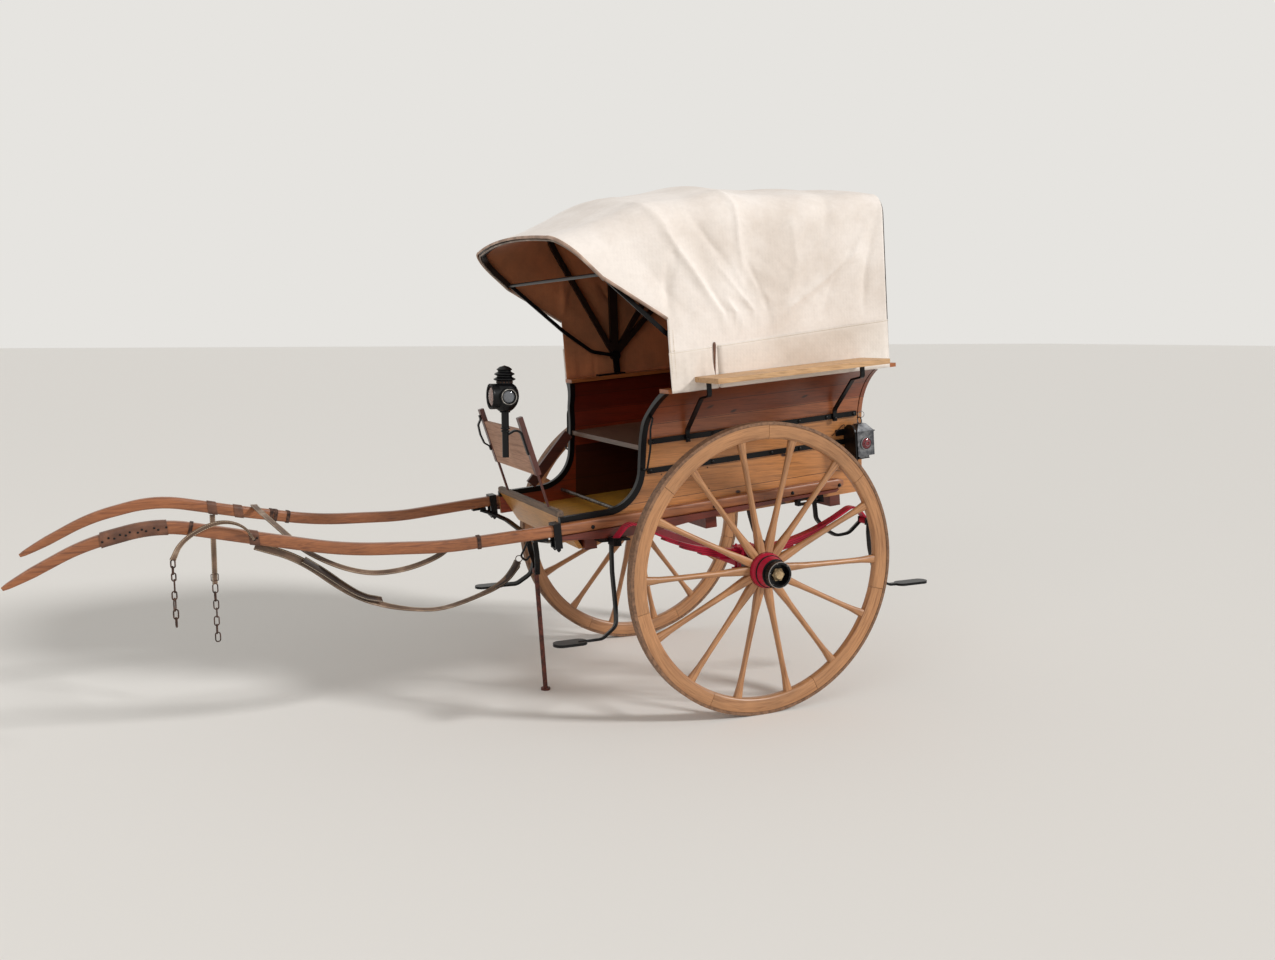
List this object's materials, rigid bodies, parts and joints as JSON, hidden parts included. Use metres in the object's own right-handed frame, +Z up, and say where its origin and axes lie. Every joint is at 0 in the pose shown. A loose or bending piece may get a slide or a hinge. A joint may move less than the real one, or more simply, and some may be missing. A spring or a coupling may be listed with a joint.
{
  "type": "hooded two-wheeled horse cart",
  "caption": "Hooded two-wheeled horse cart with panelled tub, long shafts, leaf springs, mudguard boards, a dash, side lamp and a folding front prop.",
  "frame": {"origin": "ground level, at the middle of the parked cart's length and width", "axes": "+X forward towards the shaft tips, +Y to the cart's left, +Z up"},
  "size_m": [3.9489, 1.6802, 2.3652],
  "materials": {
    "iron_tyre": "worn, rusty brown",
    "wheel_wood": "varnished, dusty",
    "crimson_iron": "worn crimson paint",
    "brass_cap": "dull",
    "black_iron": "worn black paint",
    "panel_wood": "varnished pine",
    "board_wood": "ochre varnish",
    "moulding_wood": "weathered",
    "seat_wood": "dark varnish",
    "rail_wood": "varnished",
    "dark_wood": "dark red paint",
    "dash_wood": "faded varnish",
    "shaft_wood": "varnished ash",
    "bare_steel": "dull grey",
    "rusty_chain": "rusty",
    "canvas_cream": "weathered cotton duck",
    "bow_wood": "bare ash",
    "strap_leather": "dry brown",
    "galvanised": "galvanised",
    "red_glass": "red lens",
    "clear_glass": "dusty lens"
  },
  "bodies": {
    "cart": {"axle": "crimson_iron", "axle_clip": "crimson_iron", "chains": "rusty_chain", "cross_bars": "dark_wood", "dash_board": "dash_wood", "dash_uprights": "dark_wood", "floor": "board_wood", "footrest_bar": "bare_steel", "front_board": "board_wood", "front_moulding": "moulding_wood", "front_steps": "black_iron", "gate_hinges": "black_iron", "grab_handles": "black_iron", "harness_straps": "strap_leather", "hood_bows": "bow_wood", "hood_canvas": "canvas_cream", "hood_hoop": "bow_wood", "hood_irons": "black_iron", "lamp": "black_iron", "lamp_brackets": "black_iron", "lamp_glasses": "clear_glass", "lantern_bracket": "black_iron", "prop_bracket": "black_iron", "rear_iron": "black_iron", "rear_ribs": "panel_wood", "rear_seat": "seat_wood", "rear_steps": "black_iron", "seat": "seat_wood", "shaft_clamps": "black_iron", "shaft_left": "shaft_wood", "shaft_right": "shaft_wood", "shaft_sleeves": "strap_leather", "side_bands": "black_iron", "side_brace": "seat_wood", "side_panel_left": "panel_wood", "side_panel_right": "panel_wood", "side_straps": "black_iron", "sills": "dark_wood", "spring_hanger": "black_iron", "spring_left": "crimson_iron", "spring_right": "crimson_iron", "tail_glass": "red_glass", "tail_lantern": "galvanised", "top_rails": "rail_wood", "wing_boards": "rail_wood", "wing_stays": "black_iron"},
    "wheel_left": {"tyre_left": "iron_tyre", "felloes_left": "wheel_wood", "spokes_left": "wheel_wood", "hub_left": "crimson_iron", "hub_cap_left": "brass_cap"},
    "wheel_right": {"tyre_right": "iron_tyre", "felloes_right": "wheel_wood", "spokes_right": "wheel_wood", "hub_right": "crimson_iron", "hub_cap_right": "brass_cap"},
    "prop": {"prop_leg": "rusty_chain"},
    "rear_gate": {"tailgate": "panel_wood", "gate_irons": "black_iron"}
  },
  "joints": [
    {"name": "wheel_left_spin", "type": "hinge", "parent": "cart", "child": "wheel_left", "pos_m": [-0.97648, 0.704, 0.65], "axis": [0, 1, 0], "continuous": true},
    {"name": "wheel_right_spin", "type": "hinge", "parent": "cart", "child": "wheel_right", "pos_m": [-0.97648, -0.704, 0.65], "axis": [0, 1, 0], "continuous": true},
    {"name": "prop_fold", "type": "hinge", "parent": "cart", "child": "prop", "pos_m": [-0.16448, 0, 0.578], "axis": [0, 1, 0], "range_deg": [0, 80]},
    {"name": "tailgate_drop", "type": "hinge", "parent": "cart", "child": "rear_gate", "pos_m": [-1.66071, 0, 0.9297], "axis": [0, -1, 0], "range_deg": [0, 90]}
  ]
}
